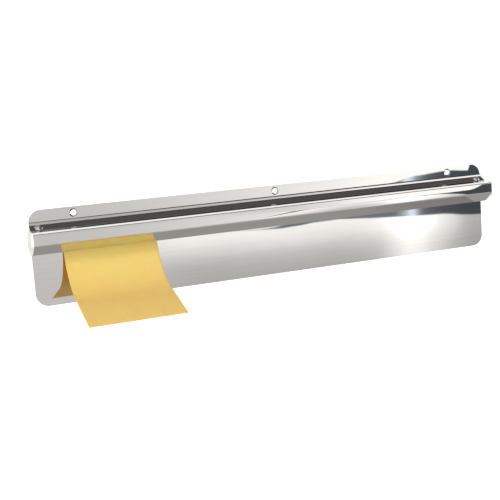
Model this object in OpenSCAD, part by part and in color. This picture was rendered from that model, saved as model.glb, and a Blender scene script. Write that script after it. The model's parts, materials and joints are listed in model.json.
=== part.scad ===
// Wall-mounted order-ticket rail: a steel back plate carries a folded channel whose slanted floor
// and the plate form a wedge. A row of glass marbles rests in the wedge and grips any paper that is
// pushed up behind the lip. The ends are closed by riveted plastic caps.
//
// Frame: +X to the viewer's right along the rail, +Z up, the wall at y = 0 and the viewer at -Y.
// The origin is the middle of the face that lies on the wall.

/* [Back plate] */
// Width of the back plate
plate_w = 457; // [300:1:600]
// Height of the back plate
plate_h = 83.2; // [80:0.1:120]
// Thickness of the back plate's steel
plate_t = 1; // [0.8:0.1:1.5]
// Radius of the back plate's corners
corner_r = 11; // [4:0.5:15]

/* [Screw holes] */
// Diameter of each screw hole
hole_d = 5; // [4:0.1:5.5]
// Diameter of the countersunk rim of each hole
hole_rim_d = 7.4; // [6:0.1:8]
// Depth of the countersunk rim
hole_rim_depth = 0.5; // [0.3:0.1:0.6]
// Distance from the plate's top edge down to the hole centres
hole_drop = 5.4; // [4.5:0.1:5.5]
// Distance from the plate's ends to the outer hole centres
hole_inset = 39; // [20:1:100]

/* [Rail channel] */
// Thickness of the channel's steel
rail_t = 0.6; // [0.5:0.1:0.8]
// How far the nose stands out from the plate
rail_depth = 19.2; // [18.5:0.1:21]
// Distance from the plate's top edge down to the flange's top edge
flange_drop = 10.3; // [10:0.1:11]
// Height of the flange that lies on the plate
flange_h = 1.7; // [1.6:0.1:2]
// How far the sloping roof reaches out from the plate
roof_depth = 7.6; // [7:0.1:8]
// How far the sloping roof falls
roof_fall = 5.1; // [4.8:0.1:5.4]
// Height of the upright front face
front_h = 11.5; // [10.5:0.1:12]
// How far the slanted floor falls from the front face to the lip
floor_fall = 8.9; // [8.5:0.1:9.5]
// Distance from the plate to the outer edge of the lip
lip_depth = 7.2; // [6.5:0.1:8]
// Inside radius of the bends at the roof's top, the roof's foot, the nose and the floor
bend_radii = [1.2, 1.5, 1, 1]; // [0.8:0.1:1.5]

/* [End caps] */
// How far the plug reaches into the channel
plug_l = 12; // [11:0.5:20]
// Play between the plug and the channel
plug_play = 0.15; // [0.1:0.05:0.25]
// How far the domed face stands out from the channel's end
dome_h = 3.6; // [2.5:0.1:5]
// Radius of the domed face
dome_r = 34.5; // [30:0.5:60]

/* [Rivets] */
// Distance from the channel's ends to the rivets
rivet_inset = 7.5; // [6:0.1:8]
// Diameter of the rivet's head
rivet_head_d = 7.2; // [6:0.1:7.2]
// Height of the rivet's head
rivet_head_h = 1.4; // [1:0.1:1.6]
// Diameter of the rivet's shank
rivet_d = 3.2; // [3:0.1:3.4]
// Length of the shank below the head
rivet_l = 4; // [3:0.1:4.2]

/* [Marbles] */
// Diameter of the marbles
marble_d = 14; // [13.5:0.1:14.2]
// Play between neighbouring marbles
marble_play = 0.3; // [0.2:0.1:0.6]

/* [Order ticket] */
// Width of the ticket
ticket_w = 83.5; // [50:0.5:100]
// Thickness of the ticket's stand-in solid
ticket_t = 0.2; // [0.15:0.05:0.3]
// Middle of the ticket along the rail
ticket_x = -160; // [-160:1:160]
// Distance from the plate's top edge down to the ticket's top edge
ticket_drop = 21; // [20.5:0.1:22]
// Length that stays flat on the plate before the curl starts
ticket_flat = 4.8; // [4:0.1:6]
// Radius of the ticket's curl
curl_r = 53; // [45:1:60]
// How far the curl turns away from the plate
curl_angle = 70; // [40:1:75]
// Straight length below the curl
ticket_tail = 44.5; // [20:0.5:60]

/* [Hidden] */
$fn = 48;
// Overlap that lets one cut run cleanly through a face
cut = 1;
// Gap kept between pieces that would otherwise touch
touch = 0.1;
// Largest turn between two points of a rounded bend, in degrees
bend_step = 6;

// Heights above the plate's middle, from the top edge down
top_z = plate_h / 2;
hole_z = top_z - hole_drop;
flange_z = top_z - flange_drop;
roof_z = flange_z - flange_h;
shelf_z = roof_z - roof_fall;
floor_z = shelf_z - front_h;
lip_z = floor_z - floor_fall;
ticket_z = top_z - ticket_drop;

// Outer corners of the channel's section, as [y, z]
flange_edge = in_front(rail_t, flange_z);
roof_top = in_front(rail_t, roof_z);
roof_foot = in_front(roof_depth, shelf_z);
nose_top = in_front(rail_depth, shelf_z);
nose_foot = in_front(rail_depth, floor_z);
lip_edge = in_front(lip_depth, lip_z);

// The section from the flange's edge down to the lip, with the channel's inside to the path's left
rail_path = [flange_edge, roof_top, roof_foot, nose_top, nose_foot, lip_edge];

// Radii of the channel's outer surface at those bends
rail_radii = bend_radii + [0, 0, rail_t, rail_t];

// The same section closed along the plate, which starts and ends half-way up the plate
cap_middle = in_front(-rail_t, (roof_z + lip_z) / 2);
cap_top = in_front(-rail_t, roof_z + rail_t);
cap_foot = in_front(-rail_t, lip_z);
cap_path = [cap_middle, cap_top, roof_foot, nose_top, nose_foot, lip_edge, cap_foot, cap_middle];
cap_corner_r = 2;
// How far the middle of the domed face lies above the middle of the nose
dome_rise = 1;
cap_radii = [cap_corner_r, rail_radii[1], rail_radii[2], rail_radii[3], cap_corner_r, cap_corner_r];

// Direction up the slanted floor, and the direction square to it that points into the channel
floor_up = unit(nose_foot - lip_edge);
floor_normal = [floor_up[1], -floor_up[0]];

// Front face of the ticket from its top edge down: flat, curl, tail
curl_tangent = curl_r * tan(curl_angle / 2);
ticket_top = in_front(touch + ticket_t, ticket_z);
ticket_corner = ticket_top - [0, ticket_flat + curl_tangent];
ticket_path = [
    ticket_top,
    ticket_corner,
    ticket_corner - (curl_tangent + ticket_tail) * [sin(curl_angle), cos(curl_angle)]
];

// Marbles rest against the plate and the slanted floor
marble_r = marble_d / 2;
marble_pitch = marble_d + marble_play;
marble_count = floor((plate_w - 2 * plug_l) / marble_pitch);
marble_y = in_front(marble_r + touch, 0)[0];
marble_seat = [
    marble_y,
    lip_z + (rail_t + marble_r + touch - (marble_y - lip_edge[0]) * floor_normal[0]) / floor_normal[1]
];
// How far the ticket pushes a marble up the slanted floor
ticket_push = (ticket_t + 2 * touch) / abs(floor_up[0]);
// How far beyond the ticket's edges a marble's middle can be and still rest on it
ticket_margin = marble_r / 2;

// The rivets go square through the middle of the sloping roof
roof_middle = (roof_top + roof_foot) / 2;
roof_angle = heading(rail_path, 1) + 180;
rivet_bore_d = rivet_d + touch;
recess_d = 1.8;
recess_depth = rivet_head_h / 2;
head_overlap = rivet_head_h / 4;
rivet_dome_r = (pow(rivet_head_d / 2, 2) + pow(rivet_head_h, 2)) / (2 * rivet_head_h);

MARBLES = [for (i = [1 : marble_count]) str("marble_", i < 10 ? "0" : "", i)];

// A point at a distance in front of the plate and at a height, as [y, z]
function in_front(distance, z) = [-plate_t - distance, z];

function unit(v) = v / norm(v);

// Heading of the path's stretch from corner i to corner i + 1, in degrees
function heading(path, i) = atan2(path[i + 1][1] - path[i][1], path[i + 1][0] - path[i][0]);

// Change of heading at corner i, positive to the left
function turn(path, i) =
    let (change = heading(path, i) - heading(path, i - 1))
    change > 180 ? change - 360 : change < -180 ? change + 360 : change;

// Unit vector to the left of a heading
function left(angle) = [-sin(angle), cos(angle)];

// Centre of the round bend of radius r at corner i
function bend_centre(path, i, r) =
    path[i] + r / cos(turn(path, i) / 2) * unit(unit(path[i - 1] - path[i]) + unit(path[i + 1] - path[i]));

// Points round the bend at corner i, on the surface that lies shift to the path's left
function bend_points(path, i, r, shift) =
    let (bend = turn(path, i), steps = ceil(abs(bend) / bend_step))
    [
        for (k = [0 : steps])
            bend_centre(path, i, r)
            + (shift - sign(bend) * r) * left(heading(path, i - 1) + bend * k / steps)
    ];

// The surface that lies shift to the left of a path whose inner corners are rounded with radii
function surface_points(path, radii, shift) =
    let (last = len(path) - 1)
    concat(
        [path[0] + shift * left(heading(path, 0))],
        [for (i = [1 : last - 1]) each bend_points(path, i, radii[i - 1], shift)],
        [path[last] + shift * left(heading(path, last - 1))]
    );

// Extrudes a shape drawn in the y-z section along x, centred on x = 0
module along_x(length) {
    rotate([90, 0, 90]) linear_extrude(length, center = true) children();
}

// A folded sheet: the strip between a path and the surface to its left, as wide as width
module folded_sheet(path, radii, thickness, width) {
    back = surface_points(path, radii, thickness);
    along_x(width)
        polygon(concat(surface_points(path, radii, 0), [for (i = [len(back) - 1 : -1 : 0]) back[i]]));
}

// Places a shape at the middle of the roof at one end (side -1 or 1), with +Z square out of the roof
module on_roof(side) {
    translate([side * (plate_w / 2 - rivet_inset), roof_middle[0], roof_middle[1]])
        rotate([roof_angle, 0, 0])
        children();
}

// Steel back plate with round corners and a row of countersunk screw holes
module back_plate() {
    color("silver")
        difference() {
            union() {
                for (size = [[plate_w, plate_h - 2 * corner_r], [plate_w - 2 * corner_r, plate_h]])
                    translate([-size[0] / 2, -plate_t, -size[1] / 2]) cube([size[0], plate_t, size[1]]);
                for (x = [-1, 1], z = [-1, 1])
                    translate([x * (plate_w / 2 - corner_r), 0, z * (plate_h / 2 - corner_r)])
                        rotate([90, 0, 0]) cylinder(r = corner_r, h = plate_t);
            }
            for (side = [-1 : 1])
                translate([side * (plate_w / 2 - hole_inset), 0, hole_z]) screw_hole();
        }
}

// Straight hole through the plate, opening into a shallow cone at the front
module screw_hole() {
    rotate([90, 0, 0]) {
        translate([0, 0, -cut]) cylinder(d = hole_d, h = plate_t + 2 * cut);
        translate([0, 0, plate_t - hole_rim_depth]) cylinder(d1 = hole_d, d2 = hole_rim_d, h = hole_rim_depth);
    }
}

// Folded steel channel: flange, sloping roof, shelf, front face and slanted floor
module rail_channel() {
    color("gainsboro")
        difference() {
            folded_sheet(rail_path, rail_radii, rail_t, plate_w);
            for (side = [-1, 1])
                on_roof(side) translate([0, 0, -rail_t - cut]) cylinder(d = rivet_bore_d, h = rail_t + 2 * cut);
        }
}

// The channel's closed section, drawn in by inset all round and length long, starting at x
module cap_slab(x, length, inset) {
    translate([x + length / 2, 0, 0]) along_x(length) polygon(surface_points(cap_path, cap_radii, inset));
}

// Moulded cap for the right-hand end: a plug in the channel and a domed face over its end
module end_cap() {
    end_x = plate_w / 2;
    dome_middle = in_front(rail_depth / 2, (shelf_z + lip_z) / 2 + dome_rise);
    color("ivory")
        difference() {
            union() {
                cap_slab(end_x - plug_l, plug_l + touch, rail_t + plug_play);
                intersection() {
                    cap_slab(end_x + touch, dome_h, plug_play);
                    translate([end_x + dome_h - dome_r, dome_middle[0], dome_middle[1]])
                        sphere(r = dome_r, $fn = 96);
                }
            }
            on_roof(1) translate([0, 0, -rivet_l - touch]) cylinder(d = rivet_bore_d, h = rivet_l);
        }
}

module end_cap_left() {
    mirror([1, 0, 0]) end_cap();
}

module end_cap_right() {
    end_cap();
}

// Two drive rivets, each a domed head with a small recess and a shank through the roof into the plug
module end_rivets() {
    color("lightgray")
        for (side = [-1, 1])
            on_roof(side) {
                difference() {
                    intersection() {
                        translate([0, 0, rivet_head_h - rivet_dome_r]) sphere(r = rivet_dome_r);
                        cylinder(d = rivet_head_d, h = rivet_head_h);
                    }
                    translate([0, 0, rivet_head_h - recess_depth]) cylinder(d = recess_d, h = rivet_head_h);
                }
                translate([0, 0, -rivet_l]) cylinder(d = rivet_d, h = rivet_l + head_overlap);
            }
}

// Paper ticket held by the marbles: flat on the plate at the top, curling forward below the lip
module order_ticket() {
    color("khaki")
        translate([ticket_x, 0, 0]) folded_sheet(ticket_path, [curl_r], ticket_t, ticket_w);
}

// Glass marble number i from the left, resting in the wedge or on the ticket's front
module marble(i) {
    x = (i - (marble_count + 1) / 2) * marble_pitch;
    on_ticket = abs(x - ticket_x) < ticket_w / 2 + ticket_margin;
    seat = marble_seat + (on_ticket ? ticket_push : 0) * floor_up;
    color("lightblue") translate([x, seat[0], seat[1]]) sphere(d = marble_d);
}

back_plate();
rail_channel();
end_cap_left();
end_cap_right();
end_rivets();
order_ticket();
for (i = [1 : marble_count])
    marble(i);
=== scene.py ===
"""Looks for the wall-mounted order-ticket rail: steel, plastic caps, glass marbles and a paper ticket.

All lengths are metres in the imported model's frame: +X along the rail, +Z up, and the viewer at -Y.
"""

import json
import math

import bpy
from mathutils import Matrix, Vector


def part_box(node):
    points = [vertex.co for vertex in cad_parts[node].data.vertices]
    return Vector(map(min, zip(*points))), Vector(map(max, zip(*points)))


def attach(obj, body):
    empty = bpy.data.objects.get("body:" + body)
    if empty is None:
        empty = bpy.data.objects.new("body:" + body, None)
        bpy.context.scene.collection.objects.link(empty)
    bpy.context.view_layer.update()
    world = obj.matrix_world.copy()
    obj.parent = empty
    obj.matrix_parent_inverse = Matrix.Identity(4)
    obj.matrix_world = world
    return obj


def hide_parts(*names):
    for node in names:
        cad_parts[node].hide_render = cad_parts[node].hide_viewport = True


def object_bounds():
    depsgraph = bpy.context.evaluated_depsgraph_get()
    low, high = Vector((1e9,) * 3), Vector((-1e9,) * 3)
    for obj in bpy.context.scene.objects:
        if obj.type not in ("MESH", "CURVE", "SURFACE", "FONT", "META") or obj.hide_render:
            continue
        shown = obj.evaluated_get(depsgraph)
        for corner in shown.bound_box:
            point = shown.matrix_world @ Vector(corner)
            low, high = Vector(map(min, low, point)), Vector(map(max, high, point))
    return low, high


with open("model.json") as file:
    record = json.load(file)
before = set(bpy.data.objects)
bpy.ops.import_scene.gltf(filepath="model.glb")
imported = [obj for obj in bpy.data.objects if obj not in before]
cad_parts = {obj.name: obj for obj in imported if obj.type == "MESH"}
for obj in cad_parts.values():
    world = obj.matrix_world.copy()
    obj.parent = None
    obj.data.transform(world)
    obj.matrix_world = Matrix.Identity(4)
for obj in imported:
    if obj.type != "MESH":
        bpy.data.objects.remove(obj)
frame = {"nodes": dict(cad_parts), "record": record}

CAD_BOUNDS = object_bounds()

# Camera: where it aims, and how it stands to that point
CAMERA_AIM = Vector((-0.02925, -0.001, -0.01604))
CAMERA_DISTANCE = 0.88618
CAMERA_AZIMUTH = math.radians(21.846)
CAMERA_ELEVATION = math.radians(8.309)
CAMERA_ROLL = math.radians(-4.149)
CAMERA_LENS_MM = 68.778
CAMERA_SENSOR_MM = 36

# Order ticket: a flat top on the plate, a round curl and a straight tail
TICKET_FLAT = 0.0048
TICKET_CURL_RADIUS = 0.053
TICKET_CURL_ANGLE = math.radians(70)
TICKET_CURL = TICKET_CURL_RADIUS * TICKET_CURL_ANGLE  # its length along the paper
TICKET_TAIL = 0.0445
TICKET_DEPTH = 0.0002  # of the CAD solid that the paper replaces
PAPER_THICKNESS = 0.00012
PAPER_COLUMNS = 60
PAPER_ROWS = 90

# Rail channel: the corners of its visible surface in section, as (forward of the plate, above the lip),
# from the hem folded over the flange down to the lip, and that surface's radii at the bends between them
CHANNEL_STEEL = 0.0006
CHANNEL_CORNERS = (
    (0.0013, 0.0249),
    (0.0012, 0.0268),
    (0.0006, 0.0268),
    (0.0006, 0.0255),
    (0.0076, 0.0204),
    (0.0160, 0.0201),
    (0.0192, 0.0187),
    (0.0192, 0.0089),
    (0.0072, 0.0),
)
CHANNEL_RADII = (0.0003, 0.0003, 0.0004, 0.0016, 0.0010, 0.0007, 0.0014)
NOSE_TOP = 6  # the corners at the top and foot of the front face
NOSE_FOOT = 7
BEND_STEPS = 10
LONG_FACE = 0.005  # flat stretches longer than this are cut into steps
LONG_FACE_STEPS = 40
LENGTH_STEPS = 64
SHARP_ANGLE = math.radians(35)

# Front face of the channel: a tilt, a bow and a faint lengthwise ridge, which grows from the left to the
# middle, and towards the right grows wider and flattens out. The places are along X.
NOSE_TILT = math.radians(0.6)
NOSE_BOW_RADIUS = 0.5
RIDGE_HEIGHT = 0.0139  # above the lip
RIDGE_TURN = math.radians(1.4)
RIDGE_WIDTH = 0.00015
RIDGE_FLAT_WIDTH = 0.0025
RIDGE_STARTS_AT = -0.08
RIDGE_FULL_AT = 0.06
RIDGE_FADES_FROM = 0.145
RIDGE_GONE_AT = 0.220
RIDGE_FADE_POWER = 2.5

# The two colours that each material varies between
STEEL_COLOURS = ((0.60, 0.582, 0.562), (0.67, 0.65, 0.628))
RIVET_COLOURS = ((0.74, 0.74, 0.73), (0.84, 0.84, 0.83))
PLASTIC_COLOURS = ((0.80, 0.79, 0.74), (0.86, 0.85, 0.81))
GLASS_COLOURS = ((0.80, 0.93, 0.88), (0.96, 0.99, 0.98))
PAPER_COLOURS = ((0.80, 0.527, 0.155), (0.87, 0.592, 0.195))
NOISE_MIDDLE = (0.3, 0.7)  # where most of a noise's values lie

# Floor and lights: places, sizes and distances in metres, and powers in watts
FLOOR_DROP = 1.2  # from the object's lowest point down to the floor
FLOOR_HALF = 40
FLOOR_COLOUR = (0.9, 0.9, 0.9, 1)
FLOOR_ROUGHNESS = 0.9
FLOOR_GLOW = 0.7
LIGHTS = {
    "key": {"place": (-0.5, -1.2, 1.5), "aim": (-0.05, 0, 0), "size": 0.35, "power": 10.5},
    "fill": {"place": (1.0, -1.2, 0.5), "aim": (0, 0, 0), "size": 1.0, "power": 4.5},
    "low_fill": {"place": (-0.5, -1.3, -0.25), "aim": (-0.16, 0, 0), "size": 0.8, "power": 10},
}

# The studio that the steel mirrors, by direction: the azimuth from -Y towards +X and the elevation, in
# degrees. A ramp is (start, end, value before, value after), and goes from 0 to 1 where it has no values.
PLAIN_WHITE = (1.0, 1.0, 1.0)
COOL_SHADE = (0.78, 0.88, 1.0)
SEEN_WHITE = 1.05  # what the camera sees in the studio's place
BEHIND = (-0.001, 0.001)  # by the direction's y

# Table, by azimuth unless it says otherwise
TABLE_EDGE = (23.5, 27.5, -7.1, -6.87)  # to the far edge's elevation
TABLE_EDGE_BLUR = 0.04
TABLE_FAR_LEVEL = (12, 20, 0.82, 0.64)
TABLE_RIGHT_SHARE = (33.5, 35.5, 1.0, 0.85)
TABLE_NEAR_LEVEL = (50, 60, 0.66, 0.45)
TABLE_NEARS = (-15, -35)  # by the angle over the far edge
GLOW_LEVEL = (10, 19, 0.06, 0.80)
GLOW_RIGHT_SHARE = (32.5, 35.5, 1.0, 0.2)
GLOW_HEIGHT = 1.4
STREAK_AZIMUTH = 31.6
STREAK_WIDTH = 1.5
STREAK_LEVEL = 0.75

# Dark strip between the table and the walls, by azimuth
STRIP_HEIGHT = (22, 34, 0.0, 2.5)
STRIP_STEP = (35.0, 35.6, 0.0, 1.8)
STRIP_TOP_BLUR = 0.05
STRIP_LEVEL = (30, 35, 0.29, 0.112)
GLEAM_WIDTH = 0.5
GLEAM_LEVEL = 1.15

# Walls, ceiling and screen, by azimuth unless it says otherwise
LOW_WALL_LEVEL = 0.85
LOW_WALL_RISE = 0.72
LOW_WALL_RISES_OVER = (10, 30)
LOW_WALL_POWER = 1.6
WALL_SHADE = (-5, -2.5, 0.0, 0.2)  # by elevation
WALL_SHADE_SHARE = (24, 30, 1.0, 0.0)
HIGH_WALL_STARTS = (1, 9)  # by elevation
HIGH_WALL_LEVEL = (15, 36, 0.6, 0.08)
CEILING_STARTS = (42, 52)  # by elevation
CEILING_LEVEL = (15, 27, 0.7, 0.11)
SCREEN_STARTS = (60, 75)
SCREEN_TOP = (30, 40, 1.0, 0.0)  # by elevation
SCREEN_LEVEL = 1.5

# Backdrop: its level by azimuth to either side, and its end by the angle up from straight back
BACKDROP_LEVEL = (112, 130, 0.49, 1.4)
BACKDROP_ENDS = (60, 73)
OVERHEAD_LEVEL = 0.11

# Sockets of a Mix node for colours, which share their names with those for numbers
MIX_LOW_COLOUR = 6
MIX_HIGH_COLOUR = 7
MIX_COLOUR = 2


def add_node(tree, kind, inputs=None, **settings):
    """Adds a node, sets its properties, and fills its inputs with values or links from other sockets."""
    node = tree.nodes.new(kind)
    for name, value in settings.items():
        setattr(node, name, value)
    for key, value in (inputs or {}).items():
        if isinstance(value, bpy.types.NodeSocket):
            tree.links.new(value, node.inputs[key])
        else:
            node.inputs[key].default_value = value
    return node


def math_node(tree, operation, *values):
    """The result of a maths operation on sockets or numbers."""
    return add_node(tree, "ShaderNodeMath", dict(enumerate(values)), operation=operation).outputs[0]


def remap(tree, value, start, end, before=0.0, after=1.0, kind="SMOOTHSTEP"):
    """A ramp from before, at start, to after, at end. It is eased unless kind says LINEAR."""
    inputs = {"Value": value, "From Min": start, "From Max": end, "To Min": before, "To Max": after}
    return add_node(tree, "ShaderNodeMapRange", inputs, interpolation_type=kind).outputs["Result"]


def mix(tree, share, low, high):
    """low at a share of 0, and high at 1."""
    inputs = {"Factor": share, "A": low, "B": high}
    return add_node(tree, "ShaderNodeMix", inputs, data_type="FLOAT", clamp_factor=True).outputs["Result"]


def colour_between(tree, share, low, high):
    """A colour that is low at a share of 0, and high at 1."""
    inputs = {"Factor": share, MIX_LOW_COLOUR: (*low, 1), MIX_HIGH_COLOUR: (*high, 1)}
    return add_node(tree, "ShaderNodeMix", inputs, data_type="RGBA", clamp_factor=True).outputs[MIX_COLOUR]


def add(tree, *values):
    """The sum of sockets and numbers."""
    total = values[0]
    for value in values[1:]:
        total = math_node(tree, "ADD", total, value)
    return total


def times(tree, *values):
    """The product of sockets and numbers."""
    product = values[0]
    for value in values[1:]:
        product = math_node(tree, "MULTIPLY", product, value)
    return product


def less(tree, value, other):
    """value with other taken away."""
    return math_node(tree, "SUBTRACT", value, other)


def degrees(tree, operation, *values):
    """The angle in degrees that an inverse trigonometric operation gives."""
    return math_node(tree, "DEGREES", math_node(tree, operation, *values))


def bell(tree, value, middle, width):
    """1 at the middle, falling smoothly to nothing over a few widths."""
    offset = math_node(tree, "DIVIDE", less(tree, value, middle), width)
    return math_node(tree, "POWER", math.e, times(tree, -1.0, offset, offset))


def table_light(tree, azimuth, over_edge):
    """The white table: an even light, a glow near its far edge, and one bright streak along it."""
    far = times(tree, remap(tree, azimuth, *TABLE_FAR_LEVEL), remap(tree, azimuth, *TABLE_RIGHT_SHARE))
    near = remap(tree, azimuth, *TABLE_NEAR_LEVEL)
    even = mix(tree, remap(tree, over_edge, *TABLE_NEARS), far, near)
    glow = times(tree, remap(tree, azimuth, *GLOW_LEVEL), remap(tree, azimuth, *GLOW_RIGHT_SHARE))
    glow = times(tree, glow, bell(tree, over_edge, 0.0, GLOW_HEIGHT))
    streak = times(tree, bell(tree, azimuth, STREAK_AZIMUTH, STREAK_WIDTH), STREAK_LEVEL)
    return add(tree, even, glow, streak)


def strip_light(tree, azimuth):
    """The dark strip between the table and the walls, with a gleam above the table's streak."""
    gleam = times(tree, bell(tree, azimuth, STREAK_AZIMUTH, GLEAM_WIDTH), GLEAM_LEVEL)
    return add(tree, remap(tree, azimuth, *STRIP_LEVEL), gleam)


def wall_light(tree, azimuth, elevation):
    """The room in front: walls that are bright low down, a ceiling, and a white screen to the right."""
    rise = math_node(tree, "POWER", remap(tree, azimuth, *LOW_WALL_RISES_OVER, kind="LINEAR"), LOW_WALL_POWER)
    low_wall = add(tree, LOW_WALL_LEVEL, times(tree, LOW_WALL_RISE, rise))
    shade = times(tree, remap(tree, elevation, *WALL_SHADE), remap(tree, azimuth, *WALL_SHADE_SHARE))
    low_wall = times(tree, low_wall, less(tree, 1.0, shade))
    high_wall = remap(tree, azimuth, *HIGH_WALL_LEVEL)
    light = mix(tree, remap(tree, elevation, *HIGH_WALL_STARTS), low_wall, high_wall)
    light = mix(tree, remap(tree, elevation, *CEILING_STARTS), light, remap(tree, azimuth, *CEILING_LEVEL))
    screen = times(tree, remap(tree, azimuth, *SCREEN_STARTS), remap(tree, elevation, *SCREEN_TOP))
    return mix(tree, screen, light, SCREEN_LEVEL)


def backdrop_light(tree, azimuth, lean):
    """The white backdrop behind, up to where it ends overhead; lean is the angle up from straight back."""
    white = remap(tree, math_node(tree, "ABSOLUTE", azimuth), *BACKDROP_LEVEL)
    return mix(tree, remap(tree, lean, *BACKDROP_ENDS), white, OVERHEAD_LEVEL)


def studio_light(tree, part):
    """The studio's light in the direction with these x, y and z parts, and how far it is the dark strip's."""
    elevation = degrees(tree, "ARCSINE", part["Z"])
    azimuth = degrees(tree, "ARCTAN2", part["X"], times(tree, part["Y"], -1.0))
    lean = degrees(tree, "ARCTAN2", part["Z"], part["Y"])
    over_edge = less(tree, elevation, remap(tree, azimuth, *TABLE_EDGE))
    strip_top = add(tree, remap(tree, azimuth, *STRIP_HEIGHT), remap(tree, azimuth, *STRIP_STEP))
    in_room = remap(tree, over_edge, -TABLE_EDGE_BLUR, TABLE_EDGE_BLUR)
    in_wall = remap(tree, less(tree, over_edge, strip_top), -STRIP_TOP_BLUR, STRIP_TOP_BLUR)
    is_behind = remap(tree, part["Y"], *BEHIND, kind="LINEAR")
    above = mix(tree, in_wall, strip_light(tree, azimuth), wall_light(tree, azimuth, elevation))
    above = mix(tree, is_behind, above, backdrop_light(tree, azimuth, lean))
    light = mix(tree, in_room, table_light(tree, azimuth, over_edge), above)
    return light, less(tree, in_room, in_wall)


def studio_world():
    """A world lit as the studio, with a cool shade in its dark strip. The camera sees plain white."""
    world = bpy.data.worlds.new("studio")
    world.use_nodes = True
    tree = world.node_tree
    tree.nodes.clear()
    direction = add_node(tree, "ShaderNodeTexCoord").outputs["Generated"]
    part = add_node(tree, "ShaderNodeSeparateXYZ", {"Vector": direction}).outputs
    light, in_strip = studio_light(tree, part)
    seen = add_node(tree, "ShaderNodeLightPath").outputs["Is Camera Ray"]
    mirrored_strip = times(tree, in_strip, less(tree, 1.0, seen))
    colour = colour_between(tree, mirrored_strip, PLAIN_WHITE, COOL_SHADE)
    strength = mix(tree, seen, light, SEEN_WHITE)
    background = add_node(tree, "ShaderNodeBackground", {"Color": colour, "Strength": strength})
    add_node(tree, "ShaderNodeOutputWorld", {"Surface": background.outputs[0]})
    bpy.context.scene.world = world


def new_material(name):
    """An empty node material and its tree."""
    material = bpy.data.materials.new(name)
    material.use_nodes = True
    material.node_tree.nodes.clear()
    return material, material.node_tree


def finish_material(tree, inputs):
    """Sends a principled shader with these inputs to the material's output."""
    shader = add_node(tree, "ShaderNodeBsdfPrincipled", inputs)
    add_node(tree, "ShaderNodeOutputMaterial", {"Surface": shader.outputs[0]})


def object_noise(tree, detail, scale=1.0, stretch=(1, 1, 1), roughness=0.55):
    """Noise in the object's own coordinates, stretched along its axes."""
    place = add_node(tree, "ShaderNodeTexCoord").outputs["Object"]
    place = add_node(tree, "ShaderNodeMapping", {"Vector": place, "Scale": stretch}).outputs["Vector"]
    inputs = {"Vector": place, "Scale": scale, "Detail": detail, "Roughness": roughness}
    return add_node(tree, "ShaderNodeTexNoise", inputs).outputs["Fac"]


def rough(tree, noise, smoothest, roughest):
    """A roughness that rises with a noise."""
    return remap(tree, noise, *NOISE_MIDDLE, smoothest, roughest)


def bump(tree, height, distance):
    """A normal that tilts as height changes over distance."""
    inputs = {"Height": height, "Distance": distance, "Strength": 1.0}
    return add_node(tree, "ShaderNodeBump", inputs).outputs["Normal"]


def polished_steel():
    """Bright sheet steel: a mirror with slow waves and a faint lengthwise grain."""
    material, tree = new_material("polished_steel_sheet")
    grain = object_noise(tree, detail=3.0, stretch=(9, 500, 500))
    waves = object_noise(tree, detail=1.0, stretch=(24, 24, 16))
    smudge = object_noise(tree, detail=2.0, stretch=(8, 40, 40))
    inputs = {
        "Base Color": colour_between(tree, grain, *STEEL_COLOURS),
        "Metallic": 1.0,
        "Roughness": rough(tree, smudge, smoothest=0.008, roughest=0.02),
        "Normal": bump(tree, waves, distance=0.00005),
    }
    finish_material(tree, inputs)
    return material


def rivet_metal():
    """Bright rolled aluminium with a fine uneven surface."""
    material, tree = new_material("rivet_aluminium")
    marks = object_noise(tree, detail=2.0, scale=1200.0)
    inputs = {
        "Base Color": colour_between(tree, marks, *RIVET_COLOURS),
        "Metallic": 1.0,
        "Roughness": rough(tree, marks, smoothest=0.10, roughest=0.2),
        "Normal": bump(tree, marks, distance=0.00001),
    }
    finish_material(tree, inputs)
    return material


def white_plastic():
    """Off-white moulded plastic with a soft gloss and a faint orange-peel skin."""
    material, tree = new_material("off_white_plastic")
    mottle = object_noise(tree, detail=3.0, scale=180.0)
    skin = object_noise(tree, detail=2.0, scale=2600.0)
    inputs = {
        "Base Color": colour_between(tree, mottle, *PLASTIC_COLOURS),
        "Roughness": rough(tree, mottle, smoothest=0.30, roughest=0.40),
        "IOR": 1.5,
        "Normal": bump(tree, skin, distance=0.00001),
    }
    finish_material(tree, inputs)
    return material


def marble_glass():
    """Milky, faintly green glass with soft streaks."""
    material, tree = new_material("marble_glass")
    streak = object_noise(tree, detail=3.0, scale=160.0)
    inputs = {
        "Base Color": colour_between(tree, streak, *GLASS_COLOURS),
        "Roughness": rough(tree, streak, smoothest=0.01, roughest=0.03),
        "IOR": 1.52,
        "Transmission Weight": 0.45,
    }
    finish_material(tree, inputs)
    return material


def yellow_paper():
    """Plain uncoated yellow paper: uneven dye, pressed fibres, and light that passes through it."""
    material, tree = new_material("yellow_paper")
    cloud = object_noise(tree, detail=3.0, scale=60.0)
    fibre = object_noise(tree, detail=4.0, scale=1500.0, roughness=0.7)
    dye = times(tree, 0.5, add(tree, cloud, fibre))
    inputs = {
        "Base Color": colour_between(tree, dye, *PAPER_COLOURS),
        "Roughness": rough(tree, fibre, smoothest=0.78, roughest=0.9),
        "IOR": 1.35,
        "Normal": bump(tree, fibre, distance=0.00002),
        "Subsurface Weight": 0.8,
        "Subsurface Radius": (1.0, 0.45, 0.06),
        "Subsurface Scale": 0.0005,
    }
    finish_material(tree, inputs)
    return material


def dress_cad_nodes(by_slot):
    """Gives every CAD node that stays its material."""
    slots = {part["node"]: part["material_slot"] for part in frame["record"]["subparts"]}
    for name, node in frame["nodes"].items():
        material = by_slot.get(slots[name])
        if material is not None:
            node.data.materials.clear()
            node.data.materials.append(material)


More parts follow.
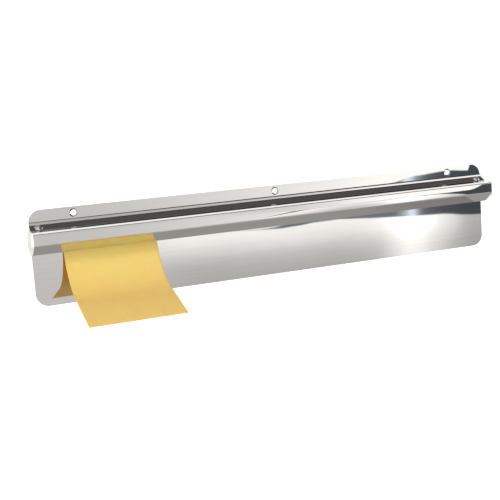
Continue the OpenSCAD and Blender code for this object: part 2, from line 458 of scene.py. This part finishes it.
def new_piece(name, verts, faces, material):
    """An object with these points and faces, in one material."""
    mesh = bpy.data.meshes.new(name)
    mesh.from_pydata(verts, [], faces)
    mesh.validate()
    mesh.materials.append(material)
    piece = bpy.data.objects.new(name, mesh)
    bpy.context.collection.objects.link(piece)
    return piece


def ticket_profile(distance):
    """Where the paper's middle is at a distance down from its top edge, as (forward, down, heading)."""
    flat = min(distance, TICKET_FLAT)
    heading = max(0.0, min(distance - TICKET_FLAT, TICKET_CURL)) / TICKET_CURL_RADIUS
    tail = max(0.0, distance - TICKET_FLAT - TICKET_CURL)
    forward = TICKET_CURL_RADIUS * (1 - math.cos(heading)) + tail * math.sin(heading)
    down = flat + TICKET_CURL_RADIUS * math.sin(heading) + tail * math.cos(heading)
    return forward, down, heading


def paper_points(low, high, length):
    """The paper's points in rows down from its top edge, first on the side towards the plate."""
    middle_y = high.y - TICKET_DEPTH / 2
    points = []
    for side in (-1, 1):
        shift = side * PAPER_THICKNESS / 2
        for row in range(PAPER_ROWS + 1):
            forward, down, heading = ticket_profile(length * row / PAPER_ROWS)
            y = middle_y - forward - shift * math.cos(heading)
            z = high.z - down + shift * math.sin(heading)
            for column in range(PAPER_COLUMNS + 1):
                points.append((low.x + (high.x - low.x) * column / PAPER_COLUMNS, y, z))
    return points


def paper_faces(side_points):
    """The faces of the paper's two sides, which have side_points each, and of its cut edges."""
    wide = PAPER_COLUMNS + 1
    faces = []
    for row in range(PAPER_ROWS):
        for column in range(PAPER_COLUMNS):
            corner = row * wide + column
            quad = (corner, corner + 1, corner + wide + 1, corner + wide)
            faces.append(quad)
            faces.append(tuple(side_points + point for point in reversed(quad)))
    rim = list(range(wide))
    rim += [wide * row + PAPER_COLUMNS for row in range(1, PAPER_ROWS + 1)]
    rim += [wide * PAPER_ROWS + column for column in range(PAPER_COLUMNS - 1, -1, -1)]
    rim += [wide * row for row in range(PAPER_ROWS - 1, 0, -1)]
    for here, after in zip(rim, rim[1:] + rim[:1]):
        faces.append((after, here, side_points + here, side_points + after))
    return faces


def build_ticket():
    """A thin sheet of paper that follows the ticket's curl, smooth on its two sides."""
    low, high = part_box("order_ticket")
    length = TICKET_FLAT + TICKET_CURL + TICKET_TAIL
    points = paper_points(low, high, length)
    side_points = len(points) // 2
    paper = new_piece("ticket_paper", points, paper_faces(side_points), yellow_paper())
    for face in paper.data.polygons:
        sides = {point // side_points for point in face.vertices}
        face.use_smooth = len(sides) == 1
    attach(paper, "ticket")
    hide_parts("order_ticket")


def round_corner(before, corner, after, radius):
    """Points round one bend of a section path, each with the direction into the sheet on its right."""
    arrive = (corner - before).normalized()
    leave = (after - corner).normalized()
    turn = math.atan2(arrive.cross(leave), arrive.dot(leave))
    side = math.copysign(1.0, turn)
    start = corner - arrive * radius * math.tan(abs(turn) / 2)
    centre = start + side * radius * arrive.orthogonal()
    spokes = []
    for step in range(BEND_STEPS + 1):
        spoke = start - centre
        spoke.rotate(Matrix.Rotation(turn * step / BEND_STEPS, 2))
        spokes.append((centre + spoke, side * spoke.normalized()))
    return spokes


def channel_section():
    """The channel's visible surface from hem to lip, as pairs of a point and the direction into the sheet."""
    corners = [Vector(corner) for corner in CHANNEL_CORNERS]
    path = []
    for before, corner, after, radius in zip(corners, corners[1:], corners[2:], CHANNEL_RADII):
        path += round_corner(before, corner, after, radius)
    path = [(corners[0], path[0][1])] + path + [(corners[-1], path[-1][1])]
    section = []
    for (here, inward), (after, _) in zip(path, path[1:]):
        steps = LONG_FACE_STEPS if (after - here).length > LONG_FACE else 1
        section += [(here.lerp(after, step / steps), inward) for step in range(steps)]
    return section + [path[-1]]


def progress(value, start, end):
    """How far a value has come from start (0) to end (1)."""
    return min(max((value - start) / (end - start), 0.0), 1.0)


def nose_shift(height, x):
    """How far back the front face lies at a height above the lip, for its tilt, its bow and its ridge."""
    flatness = progress(x, RIDGE_FADES_FROM, RIDGE_GONE_AT) ** RIDGE_FADE_POWER
    turn = RIDGE_TURN * progress(x, RIDGE_STARTS_AT, RIDGE_FULL_AT) * (1 - flatness)
    width = RIDGE_WIDTH + (RIDGE_FLAT_WIDTH - RIDGE_WIDTH) * flatness
    off_ridge = height - RIDGE_HEIGHT
    ridge = turn * width * math.log(math.cosh(off_ridge / width))
    return NOSE_TILT * off_ridge + off_ridge**2 / (2 * NOSE_BOW_RADIUS) + ridge


def shaped(point, x):
    """A section point after the front face has taken its shape; the channel keeps its place at the plate."""
    height = min(max(point.y, CHANNEL_CORNERS[NOSE_FOOT][1]), CHANNEL_CORNERS[NOSE_TOP][1])
    reach = max(point.x, 0.0) / CHANNEL_CORNERS[NOSE_TOP][0]
    return Vector((point.x - reach * nose_shift(height, x), point.y))


def channel_points(loop):
    """The points of the sheet's section, repeated along the rail."""
    low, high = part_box("rail_channel")
    points = []
    for step in range(LENGTH_STEPS + 1):
        x = low.x + (high.x - low.x) * step / LENGTH_STEPS
        for point in loop:
            place = shaped(point, x)
            points.append((x, high.y - place.x, low.z + place.y))
    return points


def channel_faces(count):
    """The faces between sections of count points each, and those of the sheet's two cut ends."""
    faces = []
    end = LENGTH_STEPS * count
    for start in range(0, end, count):
        for i in range(count):
            after = (i + 1) % count
            faces.append((start + i, start + count + i, start + count + after, start + after))
    for i in range(count // 2 - 1):
        inner = count - 1 - i
        faces.append((i, i + 1, inner - 1, inner))
        faces.append((end + i + 1, end + i, end + inner, end + inner - 1))
    return faces


def build_channel(steel):
    """The folded channel as one smooth sheet with round bends and a slightly uneven front face."""
    section = channel_section()
    loop = [outer for outer, _ in section]
    loop += [outer + inward * CHANNEL_STEEL for outer, inward in reversed(section)]
    channel = new_piece("channel_sheet", channel_points(loop), channel_faces(len(loop)), steel)
    channel.data.shade_smooth()
    channel.data.set_sharp_from_angle(angle=SHARP_ANGLE)
    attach(channel, "rail")
    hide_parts("rail_channel")


def pale_floor():
    """A pale matt surface with a soft glow of its own."""
    material, tree = new_material("pale_floor")
    inputs = {
        "Base Color": FLOOR_COLOUR,
        "Roughness": FLOOR_ROUGHNESS,
        "Emission Color": (*PLAIN_WHITE, 1),
        "Emission Strength": FLOOR_GLOW,
    }
    finish_material(tree, inputs)
    return material


def build_floor():
    """A plain pale floor under the object. The steel mirrors the studio's table in its place."""
    z = CAD_BOUNDS[0].z - FLOOR_DROP
    corners = [(x * FLOOR_HALF, y * FLOOR_HALF, z) for x, y in ((-1, -1), (1, -1), (1, 1), (-1, 1))]
    floor = new_piece("floor", corners, [(0, 1, 2, 3)], pale_floor())
    floor.visible_glossy = False
    floor.visible_diffuse = False
    floor.visible_transmission = False


def add_light(name, place, aim, size, power):
    """A soft square light, which the steel and the camera don't see."""
    light = bpy.data.lights.new(name, "AREA")
    light.energy = power
    light.size = size
    lamp = bpy.data.objects.new(name, light)
    bpy.context.collection.objects.link(lamp)
    lamp.location = place
    lamp.rotation_euler = (Vector(aim) - Vector(place)).to_track_quat("-Z", "Y").to_euler()
    lamp.visible_glossy = False
    lamp.visible_camera = False


def add_camera():
    """The camera, built from its azimuth, elevation and roll about the point it aims at."""
    level = math.cos(CAMERA_ELEVATION)
    back = Vector(
        (-math.sin(CAMERA_AZIMUTH) * level, -math.cos(CAMERA_AZIMUTH) * level, math.sin(CAMERA_ELEVATION))
    )
    right = Vector((0, 0, 1)).cross(back).normalized()
    upward = back.cross(right)
    turn = Matrix.Rotation(CAMERA_ROLL, 3, back)
    axes = Matrix((turn @ right, turn @ upward, back)).transposed()
    data = bpy.data.cameras.new("camera")
    data.lens = CAMERA_LENS_MM
    data.sensor_width = CAMERA_SENSOR_MM
    camera = bpy.data.objects.new("camera", data)
    bpy.context.collection.objects.link(camera)
    camera.matrix_world = Matrix.Translation(CAMERA_AIM + back * CAMERA_DISTANCE) @ axes.to_4x4()
    bpy.context.scene.camera = camera


bpy.context.scene.view_settings.view_transform = "Standard"
by_slot = {
    "polished_stainless": polished_steel(),
    "white_plastic": white_plastic(),
    "rivet_metal": rivet_metal(),
    "marble_glass": marble_glass(),
}
dress_cad_nodes(by_slot)
build_channel(by_slot["polished_stainless"])
build_ticket()
studio_world()
build_floor()
for name, settings in LIGHTS.items():
    add_light(name, **settings)
add_camera()
